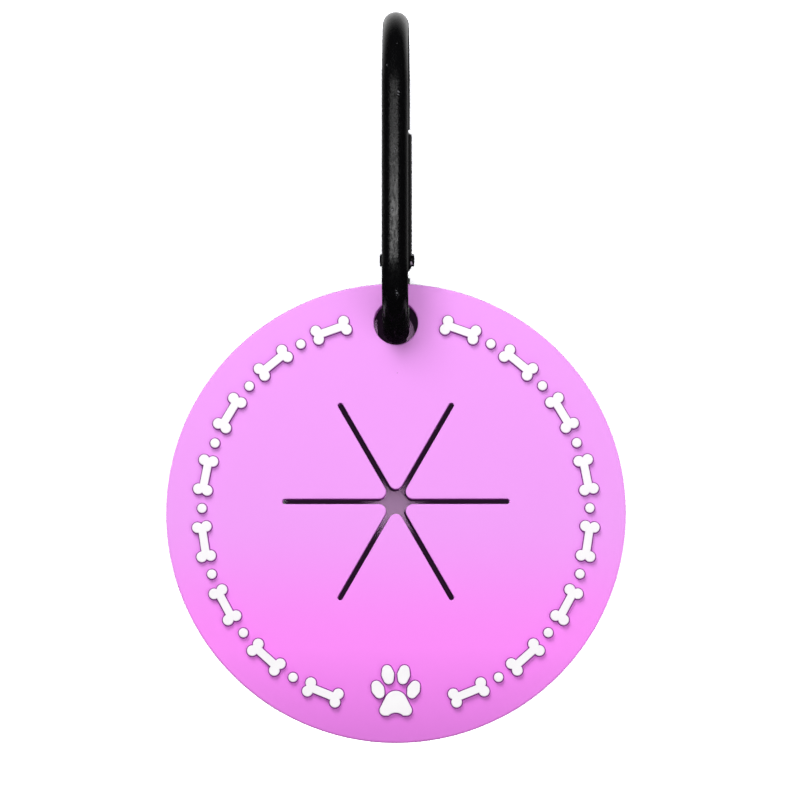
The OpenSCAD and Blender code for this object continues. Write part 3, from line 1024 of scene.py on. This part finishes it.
def addLamp(name, place, target, width, height, power, group=None):
    data = bpy.data.lights.new(name, "AREA")
    data.shape = "RECTANGLE"
    data.size = width
    data.size_y = height
    data.energy = power
    lamp = bpy.data.objects.new(name, data)
    lamp.location = place
    lamp.rotation_euler = (Vector(target) - Vector(place)).to_track_quat("-Z", "Y").to_euler()
    lamp.visible_camera = False
    if group:
        lamp.light_linking.receiver_collection = group
    bpy.context.scene.collection.objects.link(lamp)
    return lamp


def addPair(name, place, target, width, height, power, group):
    # the same lamp on both sides, left one first
    pair = []
    for side, word in ((-1, "Left"), (1, "Right")):
        there = Vector((place[0] * side, place[1], place[2]))
        pair.append(addLamp(name + word, there, target, width, height, power, group))
    return pair


def addSnoot(name, place, target, radius, power, group):
    # a narrow spot, to light a patch of the sheet
    data = bpy.data.lights.new(name, "SPOT")
    data.energy = power
    data.color = toLinear(lights["snootColour"])[:3]
    data.shadow_soft_size = lights["snootSize"]
    data.spot_size = 2 * math.atan(radius / (target - place).length)
    data.spot_blend = 1
    lamp = bpy.data.objects.new(name, data)
    lamp.location = place
    lamp.rotation_euler = (target - place).to_track_quat("-Z", "Y").to_euler()
    lamp.light_linking.receiver_collection = group
    bpy.context.scene.collection.objects.link(lamp)


def makeLights():
    allButSheet = linkTo("allButSheet", backdrop, "EXCLUDE")
    onlySheet = linkTo("onlySheet", backdrop, "INCLUDE")
    onlyClip = linkTo("onlyClip", clipPieces, "INCLUDE")
    onlyPink = linkTo("onlyPink", pinkPieces, "INCLUDE")
    target = Vector(lights["target"])
    key = addLamp("keySoftbox", lights["keyPlace"], target, lights["keySize"], lights["keySize"],
                  lights["keyPower"], allButSheet)
    fill = addLamp("fillSoftbox", lights["fillPlace"], target, lights["fillSize"], lights["fillSize"],
                   lights["fillPower"], allButSheet)
    back = addLamp("backSoftbox", lights["backPlace"], target, lights["backSize"], lights["backSize"],
                   lights["backPower"], allButSheet)
    key.visible_glossy = fill.visible_glossy = back.visible_glossy = False
    for rim in addPair("rimSoftbox", lights["rimPlace"], target, lights["rimWidth"], lights["rimHeight"],
                       lights["rimPower"], onlyPink):
        rim.visible_glossy = False
    for i, (place, spot, radius, power) in enumerate(lights["snoots"]):
        addSnoot(f"snoot{i + 1}", Vector(place), Vector(spot), radius, power, onlySheet)
    addPair("sheetLamp", lights["sheetLampPlace"], target, lights["sheetLampSize"],
            lights["sheetLampSize"], lights["sheetLampPower"], onlySheet)
    sheenPlace = Vector(lights["sheenPlace"])
    sheen = addLamp("sheenStrip", sheenPlace, sheenPlace + Vector((0, 1, 0)), lights["sheenWidth"],
                    lights["sheenHeight"], lights["sheenPower"], onlyClip)
    sheen.visible_diffuse = False


makeLights()


# The world: white to the camera and dim to the object's matt faces. Reflections see it white above and
# behind the object and dark in front of it, as in a studio with its lamps flagged off.

dome = {
    "onObject": 0.16,
    "behindFrom": 0.1,      # how far back a reflection looks, from where it begins to brighten
    "behindTo": 0.75,       # to where it is full
    "behindDark": 0.01,
    "aboveFrom": 0.05,      # how far up it looks, likewise
    "aboveTo": 0.33,
    "aboveDark": 0.016,
    "aboveFull": 1.16,
}


def makeWorld():
    world = bpy.data.worlds.new("studioDome")
    bpy.context.scene.world = world
    world.use_nodes = True
    tree = world.node_tree
    tree.nodes.clear()
    way = addNode(tree, "ShaderNodeTexCoord").outputs["Generated"]
    parts = addNode(tree, "ShaderNodeSeparateXYZ", None, {0: way})
    behind = addNode(tree, "ShaderNodeMapRange",
                     {"From Min": dome["behindFrom"], "From Max": dome["behindTo"],
                      "To Min": dome["behindDark"]}, {"Value": parts.outputs["Y"]})
    above = addNode(tree, "ShaderNodeMapRange",
                    {"From Min": dome["aboveFrom"], "From Max": dome["aboveTo"],
                     "To Min": dome["aboveDark"], "To Max": dome["aboveFull"]},
                    {"Value": parts.outputs["Z"]})
    behind = addNode(tree, "ShaderNodeMath", {"operation": "MULTIPLY"},
                     {0: behind.outputs["Result"], 1: above.outputs["Result"]})
    rays = addNode(tree, "ShaderNodeLightPath")
    mirrored = addNode(tree, "ShaderNodeMath", {"operation": "ADD", "use_clamp": True},
                       {0: rays.outputs["Is Glossy Ray"], 1: rays.outputs["Is Transmission Ray"]})
    light = addNode(tree, "ShaderNodeMix", {"data_type": "FLOAT", 2: dome["onObject"]},
                    {0: mirrored.outputs[0], 3: behind.outputs[0]})
    strength = addNode(tree, "ShaderNodeMix", {"data_type": "FLOAT", 3: 1.0},
                       {0: rays.outputs["Is Camera Ray"], 2: light.outputs[0]})
    background = addNode(tree, "ShaderNodeBackground", {"Color": (1, 1, 1, 1)},
                         {"Strength": strength.outputs[0]})
    output = addNode(tree, "ShaderNodeOutputWorld")
    tree.links.new(background.outputs[0], output.inputs["Surface"])


makeWorld()
print("lights set")


# Camera: a long lens almost square to the disc, a little to the right and below

camera = {
    "imageWidth": 800,          # px
    "pixelsPerMm": 6.55,        # at the disc
    "middleX": 396.0,           # px, the disc's middle in the photograph
    "middleZ": 513.2,           # px from the top
    "turn": 0.9,                # degrees to the object's right
    "rise": -4.2,               # degrees
    "distance": 0.8,            # m
    "sensor": 36,               # mm
    "clipStart": 0.01,          # m
    "clipEnd": 20,              # m
}


def makeCamera():
    scale = camera["pixelsPerMm"] / mm
    half = camera["imageWidth"] / 2
    target = Vector((discCentre.x + (half - camera["middleX"]) / scale, 0,
                     discCentre.y + (camera["middleZ"] - half) / scale))
    turn, rise = math.radians(camera["turn"]), math.radians(camera["rise"])
    way = Vector((math.sin(turn) * math.cos(rise), -math.cos(turn) * math.cos(rise), math.sin(rise)))
    data = bpy.data.cameras.new("productCamera")
    data.sensor_width = camera["sensor"]
    data.lens = camera["sensor"] * camera["distance"] * scale / camera["imageWidth"]
    data.clip_start = camera["clipStart"]
    data.clip_end = camera["clipEnd"]
    eye = bpy.data.objects.new("productCamera", data)
    eye.location = target + way * camera["distance"]
    eye.rotation_euler = (-way).to_track_quat("-Z", "Y").to_euler()
    bpy.context.scene.collection.objects.link(eye)
    bpy.context.scene.camera = eye


makeCamera()
bpy.context.scene.view_settings.view_transform = "Standard"

print("scene ready")
